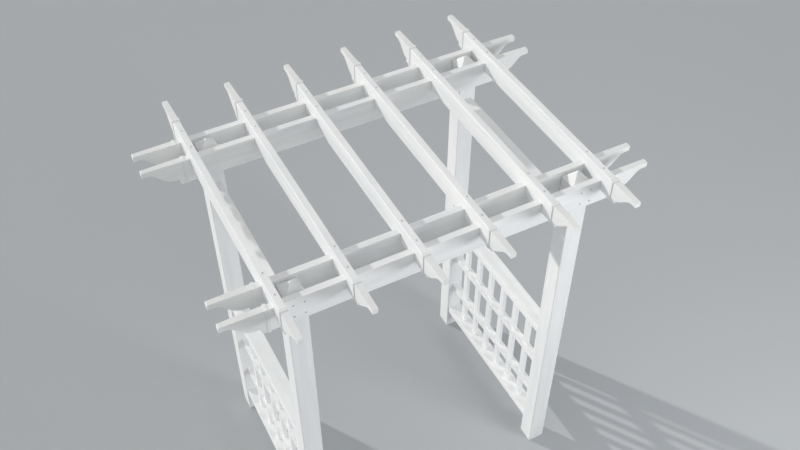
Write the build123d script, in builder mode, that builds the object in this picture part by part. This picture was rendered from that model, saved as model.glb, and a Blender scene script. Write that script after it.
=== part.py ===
import os
from math import atan, cos, degrees, radians, sin, tan

from build123d import *

os.makedirs("parts", exist_ok=True)

# Driving dimensions, in millimetres, and angles in degrees
post_size = 101.6
post_wall = 3.8
post_corner = 5.0
post_span_x = 1491.6
post_span_y = 1062.0

cap_below_beam_top = 25.0
cap_lip_height = 6.0
cap_pyramid_height = 47.0
cap_edge_step = 1.0
cap_peak_size = 2.0
cap_plug_depth = 40.0
cap_wall = 3.0
cap_clearance = 0.3

beam_thickness = 35.0
beam_height = 140.0
beam_top = 2243.0
beam_overhang = 359.7

rafter_thickness = 35.0
rafter_height = 114.0
rafter_above_beam = 58.0
rafter_overhang = 336.8
rafter_inset = 263.25
rafter_count = 6
notch_clearance = 0.5

rail_wall = 2.5
rail_corner = 1.5

end_cap_wall = 2.5
end_cap_collar_length = 16.0
end_cap_collar_proud = 3.5
end_cap_collar_chamfer = 1.2
end_cap_clearance = 0.2
end_cap_tip_width = 27.0
end_cap_tip_round = 4.0
end_cap_quirk_lean = 3.0

beam_cap_length = 222.0
beam_cap_neck = 25.0
beam_cap_belly_depth = 107.0
beam_cap_belly_flat = 13.0
beam_cap_tip_height = 30.0
beam_cap_tip_run = 30.0
beam_cap_slope = 45.0
beam_cap_cove_share = 0.29

rafter_cap_length = 183.0
rafter_cap_neck = 27.0
rafter_cap_belly_depth = 90.0
rafter_cap_belly_flat = 2.0
rafter_cap_tip_height = 26.0
rafter_cap_tip_run = 24.0
rafter_cap_slope = 42.0
rafter_cap_cove_share = 0.57

side_rail_breadth = 88.9
side_rail_depth = 50.8
side_rail_wall = 3.0
side_rail_corner = 2.0
upper_rail_below_beam_top = 235.0
panel_top = 1047.0
panel_bottom = 147.0

picket_width = 38.0
picket_thickness = 22.0
picket_count = 6
picket_wall = 2.0
cross_bar_size = 40.0
cross_bar_levels = (402.0, 695.0)

# Places that follow from the driving dimensions
beam_length = post_span_x + 2 * beam_overhang
rafter_length = post_span_y + 2 * rafter_overhang
upper_rail_top = beam_top - upper_rail_below_beam_top
rafter_pitch = (beam_length - 2 * rafter_inset) / (rafter_count - 1)
rafter_top = beam_top + rafter_above_beam
rafter_underside = rafter_top - rafter_height
post_top = beam_top - cap_below_beam_top - cap_lip_height
side_length = post_span_y - post_size
beam_offset = (post_size + beam_thickness) / 2
end_cap_socket = end_cap_collar_length - end_cap_wall
end_cap_seat = end_cap_socket - end_cap_clearance
beam_places = {
    "beam_back_outer": post_span_y / 2 + beam_offset,
    "beam_back_inner": post_span_y / 2 - beam_offset,
    "beam_front_inner": -post_span_y / 2 + beam_offset,
    "beam_front_outer": -post_span_y / 2 - beam_offset,
}
rafter_places = [(number - (rafter_count - 1) / 2) * rafter_pitch for number in range(rafter_count)]
post_places = {
    "front_left": (-post_span_x / 2, -post_span_y / 2),
    "front_right": (post_span_x / 2, -post_span_y / 2),
    "back_left": (-post_span_x / 2, post_span_y / 2),
    "back_right": (post_span_x / 2, post_span_y / 2),
}
side_places = {"left": -post_span_x / 2, "right": post_span_x / 2}


def save(piece, label):
    piece.part.label = label
    export_step(piece.part, f"parts/{label}.step")


def rail(start, width, height, corner, wall, length):
    """Make a hollow rail with slightly eased outer corners that starts on its plane."""
    with BuildPart() as piece:
        with BuildSketch(start):
            Rectangle(width, height)
            chamfer(vertices(), corner)
            Rectangle(width - 2 * wall, height - 2 * wall, mode=Mode.SUBTRACT)
        extrude(amount=length)
    return piece


# Posts: square hollow extrusions with round corners that stand on the ground
for name, (x, y) in post_places.items():
    with BuildPart() as post:
        with BuildSketch(Plane((x, y, 0))):
            RectangleRounded(post_size, post_size, post_corner)
            Rectangle(post_size - 2 * post_wall, post_size - 2 * post_wall, mode=Mode.SUBTRACT)
        extrude(amount=post_top)
    save(post, f"post_{name}")

# Post caps: a hollow four-sided pyramid on a lip, with a plug inside the post
plug_size = post_size - 2 * (post_wall + cap_clearance)
plug_bore = plug_size - 2 * cap_wall
pyramid_size = post_size - 2 * cap_edge_step
pyramid_lean = degrees(atan((pyramid_size - cap_peak_size) / 2 / cap_pyramid_height))
pyramid_hollow_height = (plug_bore - cap_peak_size) / 2 / tan(radians(pyramid_lean))
for name, (x, y) in post_places.items():
    with BuildPart() as post_cap:
        with BuildSketch(Plane((x, y, post_top))):
            RectangleRounded(post_size, post_size, post_corner)
        extrude(amount=cap_lip_height)
        with BuildSketch(Plane((x, y, post_top + cap_lip_height))):
            Rectangle(pyramid_size, pyramid_size)
        extrude(amount=cap_pyramid_height, taper=pyramid_lean)
        with BuildSketch(Plane((x, y, post_top))):
            Rectangle(plug_size, plug_size)
        extrude(amount=-cap_plug_depth)
        with BuildSketch(Plane((x, y, post_top - cap_plug_depth))):
            Rectangle(plug_bore, plug_bore)
        extrude(amount=cap_plug_depth + cap_lip_height, mode=Mode.SUBTRACT)
        with BuildSketch(Plane((x, y, post_top + cap_lip_height))):
            Rectangle(plug_bore, plug_bore)
        extrude(amount=pyramid_hollow_height, taper=pyramid_lean, mode=Mode.SUBTRACT)
    save(post_cap, f"post_cap_{name}")


def ogee(
    joint, outward, section, base, wall, length, neck, belly, belly_flat, tip, tip_run, slope, cove_share
):
    """Make the tapering ogee body of an end cap, smaller all round by a wall.

    Its underside goes from the tip as a cove, a straight slope and a belly that meet
    without a corner, up to a step down to the neck, which is as deep as the rail.
    """
    rail_thickness, rail_height = section
    side = Plane(joint, x_dir=outward, z_dir=Vector(outward).cross(Vector(0, 0, 1)))
    plan = Plane(joint, x_dir=outward, z_dir=(0, 0, 1))
    neck_end = end_cap_collar_length + neck
    belly_end = neck_end + end_cap_quirk_lean
    belly_low = belly_end + belly_flat
    cove_start = length - tip_run
    # The two radii follow from the run and the drop that the curve has to cover at this slope
    turn = radians(slope)
    run = cove_start - belly_low
    drop = belly - tip
    radii = (run * sin(turn) - drop * cos(turn)) / (1 - cos(turn))
    straight = (run - radii * sin(turn)) / cos(turn)
    cove_radius = cove_share * radii
    belly_radius = radii - cove_radius
    tip_round = end_cap_tip_round - wall
    end = length - wall
    with BuildPart() as body:
        with BuildSketch(side):
            with BuildLine():
                cove = JernArc((cove_start, wall - tip), (-1, 0), cove_radius + wall, slope)
                ramp = PolarLine(cove @ 1, straight, direction=cove % 1)
                hollow_of_belly = JernArc(ramp @ 1, ramp % 1, belly_radius - wall, -slope)
                Polyline(
                    hollow_of_belly @ 1,
                    (belly_end - wall, wall - belly),
                    (neck_end - wall, wall - rail_height),
                    (base, wall - rail_height),
                    (base, -wall),
                    (end - tip_round, -wall),
                )
                corner = JernArc((end - tip_round, -wall), (1, 0), tip_round, -90)
                Polyline(corner @ 1, (end, wall - tip), cove @ 0)
            make_face()
        extrude(amount=rail_thickness, both=True)
        with BuildSketch(plan):
            half = rail_thickness / 2 - wall
            tip_half = end_cap_tip_width / 2 - wall
            Polygon(
                (0, -half),
                (end_cap_collar_length, -half),
                (end, -tip_half),
                (end, tip_half),
                (end_cap_collar_length, half),
                (0, half),
                align=None,
            )
        extrude(amount=2 * rail_height, both=True, mode=Mode.INTERSECT)
    return body


def end_cap(joint, outward, section, *shape):
    """Make a hollow ogee cap with a collar over a rail's end, from the rail's top where it begins."""
    rail_thickness, rail_height = section
    outside = ogee(joint, outward, section, 0, 0, *shape)
    hollow = ogee(joint, outward, section, end_cap_socket, end_cap_wall, *shape)
    across = Plane(joint, x_dir=Vector(0, 0, 1).cross(Vector(outward)), z_dir=outward)
    middle = (0, -rail_height / 2)
    with BuildPart() as piece:
        with BuildSketch(across):
            with Locations(middle):
                Rectangle(rail_thickness + 2 * end_cap_collar_proud, rail_height + 2 * end_cap_collar_proud)
            chamfer(vertices(), end_cap_collar_chamfer)
        extrude(amount=end_cap_collar_length)
        rim = piece.faces().sort_by(Axis(joint, outward))[-1].edges()
        chamfer(rim, end_cap_collar_chamfer)
        add(outside.part)
        with BuildSketch(across):
            with Locations(middle):
                Rectangle(rail_thickness + 2 * end_cap_clearance, rail_height + 2 * end_cap_clearance)
        extrude(amount=end_cap_socket, mode=Mode.SUBTRACT)
        add(hollow.part, mode=Mode.SUBTRACT)
    return piece


# Beams: two pairs of hollow rails that clasp the posts across the passage
beam_joint = beam_length / 2 - beam_cap_length
beam_rail_end = beam_joint + end_cap_seat
for label, y in beam_places.items():
    start = Plane((-beam_rail_end, y, beam_top - beam_height / 2), x_dir=(0, 1, 0), z_dir=(1, 0, 0))
    beam = rail(start, beam_thickness, beam_height, rail_corner, rail_wall, 2 * beam_rail_end)
    save(beam, label)

# Beam end caps: one ogee cap at each end of each beam
for label, y in beam_places.items():
    for end, direction in (("left", -1), ("right", 1)):
        beam_cap = end_cap(
            (direction * beam_joint, y, beam_top),
            (direction, 0, 0),
            (beam_thickness, beam_height),
            beam_cap_length,
            beam_cap_neck,
            beam_cap_belly_depth,
            beam_cap_belly_flat,
            beam_cap_tip_height,
            beam_cap_tip_run,
            beam_cap_slope,
            beam_cap_cove_share,
        )
        save(beam_cap, f"{label.replace('beam', 'beam_end_cap')}_{end}")

# Rafters: hollow rails notched down over every beam
rafter_joint = rafter_length / 2 - rafter_cap_length
rafter_rail_end = rafter_joint + end_cap_seat
notch_width = beam_thickness + 2 * notch_clearance
notch_depth = beam_top - rafter_underside
for number, x in enumerate(rafter_places, start=1):
    start = Plane((x, -rafter_rail_end, rafter_top - rafter_height / 2), x_dir=(1, 0, 0), z_dir=(0, 1, 0))
    blank = rail(start, rafter_thickness, rafter_height, rail_corner, rail_wall, 2 * rafter_rail_end)
    with BuildPart() as rafter:
        add(blank.part)
        for y in beam_places.values():
            with BuildSketch(Plane((x, y, rafter_underside))):
                Rectangle(rafter_thickness, notch_width)
            extrude(amount=notch_depth, mode=Mode.SUBTRACT)
    save(rafter, f"rafter_{number}")

# Rafter end caps: one smaller ogee cap at each end of each rafter
for number, x in enumerate(rafter_places, start=1):
    for end, direction in (("front", -1), ("back", 1)):
        rafter_cap = end_cap(
            (x, direction * rafter_joint, rafter_top),
            (0, direction, 0),
            (rafter_thickness, rafter_height),
            rafter_cap_length,
            rafter_cap_neck,
            rafter_cap_belly_depth,
            rafter_cap_belly_flat,
            rafter_cap_tip_height,
            rafter_cap_tip_run,
            rafter_cap_slope,
            rafter_cap_cove_share,
        )
        save(rafter_cap, f"rafter_end_cap_{number}_{end}")

# Upper side rails: on each side a rail stands on edge between the posts, under the beams
upper_rails = []
for x in side_places.values():
    middle = upper_rail_top - side_rail_breadth / 2
    start = Plane((x, -side_length / 2, middle), x_dir=(1, 0, 0), z_dir=(0, 1, 0))
    upper_rails.append(
        rail(start, side_rail_depth, side_rail_breadth, side_rail_corner, side_rail_wall, side_length)
    )
with BuildPart() as upper_side_rails:
    for upper_rail in upper_rails:
        add(upper_rail.part)
save(upper_side_rails, "upper_side_rails")

# Panel rails: the same rail lies flat along the top and the bottom of each side panel
for name, x in side_places.items():
    for place, top in (("top", panel_top), ("bottom", panel_bottom + side_rail_depth)):
        start = Plane((x, -side_length / 2, top - side_rail_depth / 2), x_dir=(1, 0, 0), z_dir=(0, 1, 0))
        panel_rail = rail(
            start, side_rail_breadth, side_rail_depth, side_rail_corner, side_rail_wall, side_length
        )
        save(panel_rail, f"panel_{place}_rail_{name}")

# Lattices: upright pickets that pass through two thicker level bars, hollow like the rails
lattice_underside = panel_bottom + side_rail_depth
lattice_height = panel_top - side_rail_depth - lattice_underside
picket_pitch = side_length / (picket_count + 1)
picket_places = [(number - (picket_count - 1) / 2) * picket_pitch for number in range(picket_count)]
for name, x in side_places.items():
    lattice_side = Plane((x, 0, 0), x_dir=(0, 1, 0), z_dir=(1, 0, 0))
    with BuildPart() as lattice:
        for inset, mode in ((0, Mode.ADD), (picket_wall, Mode.SUBTRACT)):
            with BuildSketch(lattice_side):
                with Locations(*[(place, lattice_underside + lattice_height / 2) for place in picket_places]):
                    Rectangle(picket_width - 2 * inset, lattice_height)
            extrude(amount=picket_thickness / 2 - inset, both=True, mode=mode)
            with BuildSketch(lattice_side):
                with Locations(*[(0, level) for level in cross_bar_levels]):
                    Rectangle(side_length, cross_bar_size - 2 * inset)
            extrude(amount=cross_bar_size / 2 - inset, both=True, mode=mode)
    save(lattice, f"side_lattice_{name}")
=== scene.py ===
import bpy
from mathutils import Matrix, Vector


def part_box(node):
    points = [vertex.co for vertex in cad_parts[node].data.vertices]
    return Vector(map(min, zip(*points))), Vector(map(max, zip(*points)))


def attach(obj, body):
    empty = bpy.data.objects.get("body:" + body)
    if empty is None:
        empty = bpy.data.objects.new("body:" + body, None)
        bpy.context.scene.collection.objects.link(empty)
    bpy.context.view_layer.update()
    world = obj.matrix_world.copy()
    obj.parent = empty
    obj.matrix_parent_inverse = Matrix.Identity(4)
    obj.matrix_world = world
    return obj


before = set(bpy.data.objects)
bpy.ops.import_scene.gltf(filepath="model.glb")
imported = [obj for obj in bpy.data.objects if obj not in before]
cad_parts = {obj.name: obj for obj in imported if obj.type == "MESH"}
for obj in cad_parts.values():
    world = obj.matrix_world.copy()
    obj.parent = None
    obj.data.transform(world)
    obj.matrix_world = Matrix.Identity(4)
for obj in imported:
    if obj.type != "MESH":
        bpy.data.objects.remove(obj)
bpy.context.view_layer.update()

import math

import bpy
import numpy as np
from mathutils import Vector

MM = 0.001
scene = bpy.context.scene


# The camera stands where the photograph was taken: high up, in front and to the left
PICTURE_WIDTH_PX = 800
FOCAL_LENGTH_PX = 961.0
SENSOR_WIDTH_MM = 36.0
CAMERA_PLACE = (-1.5908, -3.1470, 5.3684)
CAMERA_DOWN = math.radians(45.536)
CAMERA_TO_THE_RIGHT = math.radians(27.758)


def set_up_camera():
    data = bpy.data.cameras.new("camera")
    data.sensor_width = SENSOR_WIDTH_MM
    data.lens = SENSOR_WIDTH_MM * FOCAL_LENGTH_PX / PICTURE_WIDTH_PX
    camera = bpy.data.objects.new("camera", data)
    camera.location = CAMERA_PLACE
    camera.rotation_euler = (math.pi / 2 - CAMERA_DOWN, 0, -CAMERA_TO_THE_RIGHT)
    scene.collection.objects.link(camera)
    scene.camera = camera


def linear(hex_colour):
    """Turn an sRGB hex colour into the linear values that a shader takes."""
    channels = [int(hex_colour[i:i + 2], 16) / 255 for i in (1, 3, 5)]
    curve = [c / 12.92 if c <= 0.04045 else ((c + 0.055) / 1.055) ** 2.4 for c in channels]
    return (*curve, 1.0)


def add_node(tree, kind, inputs=None, **settings):
    """Add one node, set its properties, and set or link its inputs by name or number."""
    node = tree.nodes.new(kind)
    for name, value in settings.items():
        setattr(node, name, value)
    for name, value in (inputs or {}).items():
        if isinstance(value, bpy.types.NodeSocket):
            tree.links.new(value, node.inputs[name])
        else:
            node.inputs[name].default_value = value
    return node


def new_material(name):
    """Make a material with an empty node tree."""
    material = bpy.data.materials.new(name)
    material.use_nodes = True
    material.node_tree.nodes.clear()
    return material, material.node_tree


def finish(tree, inputs):
    """End a material in one shader with these inputs."""
    shader = add_node(tree, "ShaderNodeBsdfPrincipled", inputs)
    add_node(tree, "ShaderNodeOutputMaterial", {"Surface": shader.outputs["BSDF"]})


def blend_colours(tree, amount, first, second):
    """Mix two colours, each a hex value or a socket, by an amount."""
    sides = {"A": first, "B": second}
    inputs = {side: linear(c) if isinstance(c, str) else c for side, c in sides.items()}
    mix = add_node(tree, "ShaderNodeMix", {"Factor": amount, **inputs}, data_type="RGBA")
    return mix.outputs["Result"]


def change_range(tree, value, old, new):
    """Map a value from one range to another, and hold it within the new one."""
    ends = {"From Min": old[0], "From Max": old[1], "To Min": new[0], "To Max": new[1]}
    return add_node(tree, "ShaderNodeMapRange", {"Value": value, **ends}).outputs["Result"]


def combine(tree, operation, first, second):
    """Work out one value from two."""
    node = add_node(tree, "ShaderNodeMath", {0: first, 1: second}, operation=operation)
    return node.outputs["Value"]


# The range of an amount, and the range that most of a noise lies in
WHOLE = (0.0, 1.0)
NOISE_RANGE = (0.3, 0.7)

# Rigid PVC, white through and through and silky, so it shows soft highlights and little texture
VINYL_WHITE = "#F4F4F2"
VINYL_COOL = "#E9EBEC"
PVC_IOR = 1.54

# Extruded rails and posts: drawn out along their length, with a silky sheen that varies in
# long streaks and slow waves. Real die lines are under 1 mm wide and would not show, so they
# are drawn 8 mm wide. A streak or line is as many times longer than wide as the stretch says.
EXTRUDED_ROUGHNESS = (0.44, 0.58)
STREAK_WIDTH = 45 * MM
DIE_LINE_WIDTH = 8 * MM
STREAK_STRETCH = 14.0
WAVE_HEIGHT = 0.9 * MM
DIE_LINE_HEIGHT = 0.16 * MM

# Moulded caps: a shade greyer, with faint clouds and the orange peel of the mould.
# The real peel is 1 to 2 mm wide and would not show, so it is drawn 6 mm wide.
MOULDED_WHITE = "#EBEBE8"
MOULDED_COOL = "#E4E6E6"
MOULDED_ROUGHNESS = (0.52, 0.64)
CLOUD_WIDTH = 110 * MM
PEEL_WIDTH = 6 * MM
PEEL_HEIGHT = 0.12 * MM

# What the weather leaves on both: a thin film and specks of dust on what faces up, and splashes
# of dirt near the ground, which also paint the shade at the foot. LEVEL_RANGE is how far a face
# looks up where dust begins to lie and where it lies fully. Each MOST is how far its colour covers
# the clean one.
LEVEL_RANGE = (0.55, 0.95)
DUST_COLOUR = "#B9B6A9"
DUST_PATCH_WIDTH = 140 * MM
DUST_RANGE = (0.35, 0.75)
DUST_MOST = 0.16
SPECK_COLOUR = "#8F8D84"
SPECK_SPACING = 38 * MM
SPECK_RADIUS = 2.6 * MM
SPECK_CORE = 0.6
SPECK_MOST = 0.35
# The splash colour is partly dirt and partly painted shade at the foot of the parts
SPLASH_AND_FOOT_SHADE_COLOUR = "#A9A28F"
SPLASH_TOP = 160 * MM
SPLASH_DROP_WIDTH = 14 * MM
SPLASH_RANGE = (0.42, 0.68)
SPLASH_AND_FOOT_SHADE_MOST = 0.18


def weathering(tree, place, clean):
    """Lay dust on what faces up, and dirt splashes near the ground that also paint shade at the
    foot, over a clean colour.
    """
    normal = add_node(tree, "ShaderNodeNewGeometry").outputs["Normal"]
    upward = add_node(tree, "ShaderNodeSeparateXYZ", {"Vector": normal}).outputs["Z"]
    facing_up = change_range(tree, upward, LEVEL_RANGE, WHOLE)
    patches = {"Vector": place, "Scale": 1 / DUST_PATCH_WIDTH, "Detail": 5.0}
    film = add_node(tree, "ShaderNodeTexNoise", patches).outputs[0]
    film_amount = change_range(tree, film, DUST_RANGE, (0.0, DUST_MOST))
    dust = combine(tree, "MULTIPLY", film_amount, facing_up)
    dusty = blend_colours(tree, dust, clean, DUST_COLOUR)

    cells = add_node(tree, "ShaderNodeTexVoronoi", {"Vector": place, "Scale": 1 / SPECK_SPACING})
    radius = SPECK_RADIUS / SPECK_SPACING
    speck_edge = (SPECK_CORE * radius, radius)
    speck_amount = change_range(tree, cells.outputs["Distance"], speck_edge, (SPECK_MOST, 0.0))
    specks = combine(tree, "MULTIPLY", speck_amount, facing_up)
    specked = blend_colours(tree, specks, dusty, SPECK_COLOUR)

    # Darker, mottled colour towards the ground: splashes of dirt that also paint the shade at the
    # foot
    height = add_node(tree, "ShaderNodeSeparateXYZ", {"Vector": place}).outputs["Z"]
    near_ground = change_range(tree, height, (0.0, SPLASH_TOP), (1.0, 0.0))
    drops = {"Vector": place, "Scale": 1 / SPLASH_DROP_WIDTH, "Detail": 4.0}
    drop = add_node(tree, "ShaderNodeTexNoise", drops).outputs[0]
    drop_amount = change_range(tree, drop, SPLASH_RANGE, (0.0, SPLASH_AND_FOOT_SHADE_MOST))
    splashes_and_foot_shade = combine(tree, "MULTIPLY", drop_amount, near_ground)
    return blend_colours(tree, splashes_and_foot_shade, specked, SPLASH_AND_FOOT_SHADE_COLOUR)


def extruded_vinyl(name, along):
    """White vinyl whose streaks, slow waves and die lines run along one axis of the object."""
    material, tree = new_material(name)
    place = add_node(tree, "ShaderNodeTexCoord").outputs["Object"]
    stretch = [1.0 if axis == along else STREAK_STRETCH for axis in "XYZ"]
    mapping = add_node(tree, "ShaderNodeMapping", {"Vector": place, "Scale": stretch})
    drawn = mapping.outputs["Vector"]
    streaks = {"Vector": drawn, "Scale": 1 / (STREAK_WIDTH * STREAK_STRETCH), "Detail": 2.0}
    streak = add_node(tree, "ShaderNodeTexNoise", streaks).outputs[0]
    lines = {"Vector": drawn, "Scale": 1 / (DIE_LINE_WIDTH * STREAK_STRETCH), "Detail": 1.0}
    line = add_node(tree, "ShaderNodeTexNoise", lines).outputs[0]

    waves = add_node(tree, "ShaderNodeBump", {"Height": streak, "Distance": WAVE_HEIGHT})
    relief = {"Height": line, "Distance": DIE_LINE_HEIGHT, "Normal": waves.outputs["Normal"]}
    streak_amount = change_range(tree, streak, NOISE_RANGE, WHOLE)
    clean = blend_colours(tree, streak_amount, VINYL_WHITE, VINYL_COOL)
    finish(tree, {
        "Base Color": weathering(tree, place, clean),
        "Roughness": change_range(tree, line, NOISE_RANGE, EXTRUDED_ROUGHNESS),
        "IOR": PVC_IOR,
        "Normal": add_node(tree, "ShaderNodeBump", relief).outputs["Normal"],
    })
    return material


def moulded_vinyl(name):
    """White vinyl from a mould: faint clouds in the colour and the sheen, and orange peel."""
    material, tree = new_material(name)
    place = add_node(tree, "ShaderNodeTexCoord").outputs["Object"]
    clouds = {"Vector": place, "Scale": 1 / CLOUD_WIDTH, "Detail": 3.0}
    cloud = add_node(tree, "ShaderNodeTexNoise", clouds).outputs[0]
    dimples = {"Vector": place, "Scale": 1 / PEEL_WIDTH, "Detail": 1.0}
    peel = add_node(tree, "ShaderNodeTexNoise", dimples).outputs[0]

    relief = {"Height": peel, "Distance": PEEL_HEIGHT}
    cloud_amount = change_range(tree, cloud, NOISE_RANGE, WHOLE)
    clean = blend_colours(tree, cloud_amount, MOULDED_WHITE, MOULDED_COOL)
    finish(tree, {
        "Base Color": weathering(tree, place, clean),
        "Roughness": change_range(tree, cloud, NOISE_RANGE, MOULDED_ROUGHNESS),
        "IOR": PVC_IOR,
        "Normal": add_node(tree, "ShaderNodeBump", relief).outputs["Normal"],
    })
    return material


def give_materials():
    drawn = {
        axis: extruded_vinyl(f"extruded_white_pvc_along_{axis.lower()}", axis) for axis in "XYZ"
    }
    moulded = moulded_vinyl("moulded_white_pvc")
    for name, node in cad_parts.items():
        low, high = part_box(name)
        size = high - low
        # Posts and lattices stand up, side rails and panel rails run along the sides, and
        # beams and rafters run the way they are longer
        if "lattice" in name or name.startswith("post_"):
            along = "Z"
        elif "side" in name or "panel" in name:
            along = "Y"
        else:
            along = "X" if size.x > size.y else "Y"
        node.data.materials.clear()
        node.data.materials.append(moulded if "cap" in name else drawn[along])


# Stainless steel pan head screws: a domed head with a cross recess, dull grey against the white.
# The real grain is far finer than a screw's head can show, so it is drawn about 1 mm wide.
STEEL_GREY = "#D2D0CB"
STEEL_ROUGHNESS = (0.28, 0.42)
STEEL_GRAIN_WIDTH = 1.1 * MM
HEAD_RADIUS = 4.4 * MM
HEAD_HEIGHT = 2.8 * MM
HEAD_SUNK = 0.4 * MM
HEAD_ROUNDING = 0.75
RECESS_WIDTH = 1.1 * MM
RECESS_REACH = 2.5 * MM
RECESS_DEPTH = 1.5 * MM
RECESS_SHARPNESS = 6
# The rings of a head, as shares of its radius: close where the recess is cut and at the rim
RING_SHARES = (0.08, 0.16, 0.24, 0.32, 0.4, 0.48, 0.56, 0.66, 0.78, 0.9, 0.97, 1.0, 1.0)
HEAD_COLUMNS = 32
TURN_BETWEEN_SCREWS = math.radians(137.5)


def stainless_steel(name):
    """Stainless steel from cold forming: bare metal with a fine satin that varies a little."""
    material, tree = new_material(name)
    place = add_node(tree, "ShaderNodeTexCoord").outputs["Object"]
    grains = {"Vector": place, "Scale": 1 / STEEL_GRAIN_WIDTH, "Detail": 2.0}
    grain = add_node(tree, "ShaderNodeTexNoise", grains).outputs[0]
    finish(tree, {
        "Base Color": linear(STEEL_GREY),
        "Metallic": 1.0,
        "Roughness": change_range(tree, grain, NOISE_RANGE, STEEL_ROUGHNESS),
    })
    return material


def screw_head():
    """Work out one head on the plane z = 0: its vertices, four-sided faces and triangles.

    The outline turns round the z axis: over the top its height is that of an ellipse,
    head height * sqrt(1 - rounding * (r / radius)^2), then the rim drops straight down. The
    recess takes away depth * cross, where cross is near 1 inside either arm and falls off
    smoothly past half the arm's width across and past its reach along, as
    1 / (1 + (distance / limit)^sharpness).
    """
    share = np.array(RING_SHARES)
    dome = HEAD_HEIGHT * np.sqrt(1 - HEAD_ROUNDING * share**2)
    dome[-1] = -HEAD_SUNK
    angle = np.arange(HEAD_COLUMNS) / HEAD_COLUMNS * 2 * math.pi
    radius = share[:, None] * HEAD_RADIUS
    x = radius * np.cos(angle)
    y = radius * np.sin(angle)

    def fall_off(distance, limit):
        return 1 / (1 + (distance / limit) ** RECESS_SHARPNESS)

    arm_along_x = fall_off(y, RECESS_WIDTH / 2) * fall_off(x, RECESS_REACH)
    arm_along_y = fall_off(x, RECESS_WIDTH / 2) * fall_off(y, RECESS_REACH)
    cross = np.maximum(arm_along_x, arm_along_y)
    cross[-1] = 0
    z = dome[:, None] - RECESS_DEPTH * cross

    # Rings between one vertex at the top and one at the bottom
    rings = np.stack([x, y, z], axis=-1)
    top = np.array([[0, 0, HEAD_HEIGHT - RECESS_DEPTH]])
    bottom = np.array([[0, 0, -HEAD_SUNK]])
    vertices = np.vstack([top, rings.reshape(-1, 3), bottom])

    column = np.arange(HEAD_COLUMNS)
    following = (column + 1) % HEAD_COLUMNS
    start = np.arange(len(rings) - 1)[:, None] * HEAD_COLUMNS + 1
    under = start + HEAD_COLUMNS
    walls = np.stack(
        [start + column, under + column, under + following, start + following], axis=-1
    )

    first = np.zeros_like(column)
    last = first + len(vertices) - 1
    rim = (len(rings) - 1) * HEAD_COLUMNS + 1
    top_fan = np.stack([first, 1 + column, 1 + following], axis=-1)
    bottom_fan = np.stack([rim + column, last, rim + following], axis=-1)
    return vertices, walls.reshape(-1, 4), np.vstack([top_fan, bottom_fan])


def screws(name, places, outward, material):
    """Put a screw head at each place, facing outward, each turned a step further than the last."""
    vertices, quads, triangles = screw_head()
    places = np.asarray(places, float)
    outward = np.asarray(outward, float)
    up = np.array([0.0, 0.0, 1.0])
    side = np.array([1.0, 0.0, 0.0]) if outward @ up else np.cross(outward, up)
    basis = np.stack([side, np.cross(outward, side), outward])

    turn = np.arange(len(places)) * TURN_BETWEEN_SCREWS
    cos, sin, zero = np.cos(turn), np.sin(turn), np.zeros_like(turn)
    spin = np.stack([cos, sin, zero, -sin, cos, zero, zero, zero, zero + 1], axis=-1)
    spin = spin.reshape(-1, 3, 3)
    points = np.einsum("vi,sij,jk->svk", vertices, spin, basis) + places[:, None, :]
    step = (np.arange(len(places)) * len(vertices))[:, None, None]
    faces = (quads + step).reshape(-1, 4).tolist() + (triangles + step).reshape(-1, 3).tolist()

    mesh = bpy.data.meshes.new(name)
    mesh.from_pydata(points.reshape(-1, 3).tolist(), [], faces)
    mesh.shade_smooth()
    mesh.materials.append(material)
    piece = bpy.data.objects.new(name, mesh)
    scene.collection.objects.link(piece)
    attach(piece, "root")


# The screws that hold a beam to a post: how far from the post's middle, and how high
SCREW_ACROSS = 26.5 * MM
SCREW_LEVELS = (2.207, 2.1345)
# The screws that lock an upper side rail in a post: how far inward of its middle, and how high
LOCK_INWARD = 12.0 * MM
LOCK_LEVELS = (1.9405, 1.9865)


def set_screws():
    steel = stainless_steel("satin_stainless_steel")
    beams = ("beam_front_outer", "beam_front_inner", "beam_back_inner", "beam_back_outer")
    beam_middles = [(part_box(name)[0].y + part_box(name)[1].y) / 2 for name in beams]
    places = []
    for name in sorted(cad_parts):
        if name.startswith("rafter_") and "cap" not in name:
            low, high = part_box(name)
            places += [((low.x + high.x) / 2, y, high.z) for y in beam_middles]
    screws("rafter_screws", places, (0, 0, 1), steel)

    for end, facing in (("front", -1), ("back", 1)):
        low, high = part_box(f"beam_{end}_outer")
        face = low.y if facing < 0 else high.y
        places = []
        for side in ("left", "right"):
            low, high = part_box(f"post_{end}_{side}")
            middle = (low.x + high.x) / 2
            for across in (-SCREW_ACROSS, SCREW_ACROSS):
                places += [(middle + across, face, z) for z in SCREW_LEVELS]
        screws(f"beam_screws_{end}", places, (0, facing, 0), steel)

    for side, facing in (("left", -1), ("right", 1)):
        places = []
        for end, inward in (("front", 1), ("back", -1)):
            low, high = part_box(f"post_{end}_{side}")
            face = low.x if facing < 0 else high.x
            middle = (low.y + high.y) / 2
            places += [(face, middle + inward * LOCK_INWARD, z) for z in LOCK_LEVELS]
        screws(f"side_rail_screws_{side}", places, (facing, 0, 0), steel)


# Studio: a plain pale floor under an even pale sky
FLOOR_GREY = "#AEB1B3"
FLOOR_ROUGHNESS = 0.9
FLOOR_GLOSS = 0.15
FLOOR_SIDE = 60.0
SKY_COLOUR = (0.95, 0.97, 1.0, 1.0)
SKY_STRENGTH = 0.36
# The floor throws up a little less light than it shows, and the sky shows a little paler than
# it lights
FLOOR_BOUNCE_GREY = "#A8ABAD"
SKY_STRENGTH_SEEN = 0.46

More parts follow.
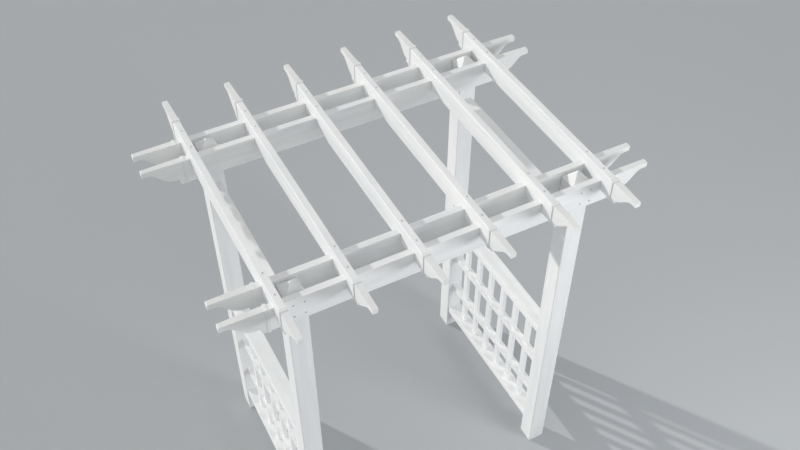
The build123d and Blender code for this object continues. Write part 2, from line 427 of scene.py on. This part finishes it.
# The far lamps: a key at the back left, where the sun stands, and four broad soft ones.
# For each, the direction that it shines in, its spread in degrees, its strength and its colour.
LAMPS = {
    "key": ((1.7, -2.64, -1.0), 1.2, 2.45, (1.0, 0.985, 0.96)),
    "fill": ((-0.35, 1.0, -0.1), 80, 0.6, (0.95, 0.97, 1.0)),
    "side": ((1.0, 0.05, 0.05), 60, 1.1, (1.0, 1.0, 1.0)),
    "far side": ((-1.0, -0.05, 0.05), 60, 0.3, (0.97, 0.98, 1.0)),
    "top": ((0.0, 0.0, -1.0), 100, 0.62, (1.0, 1.0, 1.0)),
}

# The softbox stands near, at the front right, so the light on the front fades to the left and
# downwards. It shows neither itself nor its reflection, which would burn out the level tops
# seen from behind.
SOFTBOX_PLACE = (2.6, -3.6, 2.6)
SOFTBOX_AIM = (0.0, 0.0, 2.0)
SOFTBOX_WIDTH = 1.6
SOFTBOX_POWER = 70.0
SOFTBOX_COLOUR = (0.96, 0.98, 1.0)


def seen(tree):
    """Give 1 to rays that show a surface, straight or in a gloss, and 0 to all the others."""
    ray = add_node(tree, "ShaderNodeLightPath").outputs
    straight_or_gloss = combine(tree, "MAXIMUM", ray["Is Camera Ray"], ray["Is Glossy Ray"])
    return combine(tree, "MAXIMUM", straight_or_gloss, ray["Is Transmission Ray"])


def lay_floor():
    half = FLOOR_SIDE / 2
    corners = [(-half, -half, 0), (half, -half, 0), (half, half, 0), (-half, half, 0)]
    mesh = bpy.data.meshes.new("floor")
    mesh.from_pydata(corners, [], [(0, 1, 2, 3)])
    material, tree = new_material("matt_floor_paint")
    finish(tree, {
        "Base Color": blend_colours(tree, seen(tree), FLOOR_BOUNCE_GREY, FLOOR_GREY),
        "Roughness": FLOOR_ROUGHNESS,
        "Specular IOR Level": FLOOR_GLOSS,
    })
    mesh.materials.append(material)
    floor = bpy.data.objects.new("floor", mesh)
    scene.collection.objects.link(floor)


def hang_sky():
    world = bpy.data.worlds.new("pale_sky")
    world.use_nodes = True
    tree = world.node_tree
    tree.nodes.clear()
    strength = change_range(tree, seen(tree), WHOLE, (SKY_STRENGTH, SKY_STRENGTH_SEEN))
    sky = add_node(tree, "ShaderNodeBackground", {"Color": SKY_COLOUR, "Strength": strength})
    add_node(tree, "ShaderNodeOutputWorld", {"Surface": sky.outputs["Background"]})
    scene.world = world


def add_lamp(name, kind, direction, strength, colour):
    data = bpy.data.lights.new(name, kind)
    data.energy = strength
    data.color = colour
    lamp = bpy.data.objects.new(name, data)
    lamp.rotation_euler = Vector(direction).to_track_quat("-Z", "Y").to_euler()
    scene.collection.objects.link(lamp)
    return lamp


def set_up_studio():
    lay_floor()
    hang_sky()
    for name, (direction, spread, strength, colour) in LAMPS.items():
        lamp = add_lamp(name, "SUN", direction, strength, colour)
        lamp.data.angle = math.radians(spread)
    direction = Vector(SOFTBOX_AIM) - Vector(SOFTBOX_PLACE)
    softbox = add_lamp("softbox", "AREA", direction, SOFTBOX_POWER, SOFTBOX_COLOUR)
    softbox.location = SOFTBOX_PLACE
    softbox.data.shape = "DISK"
    softbox.data.size = SOFTBOX_WIDTH
    softbox.visible_camera = False
    softbox.visible_glossy = False
    scene.view_settings.view_transform = "Standard"


set_up_camera()
set_up_studio()
give_materials()
set_screws()
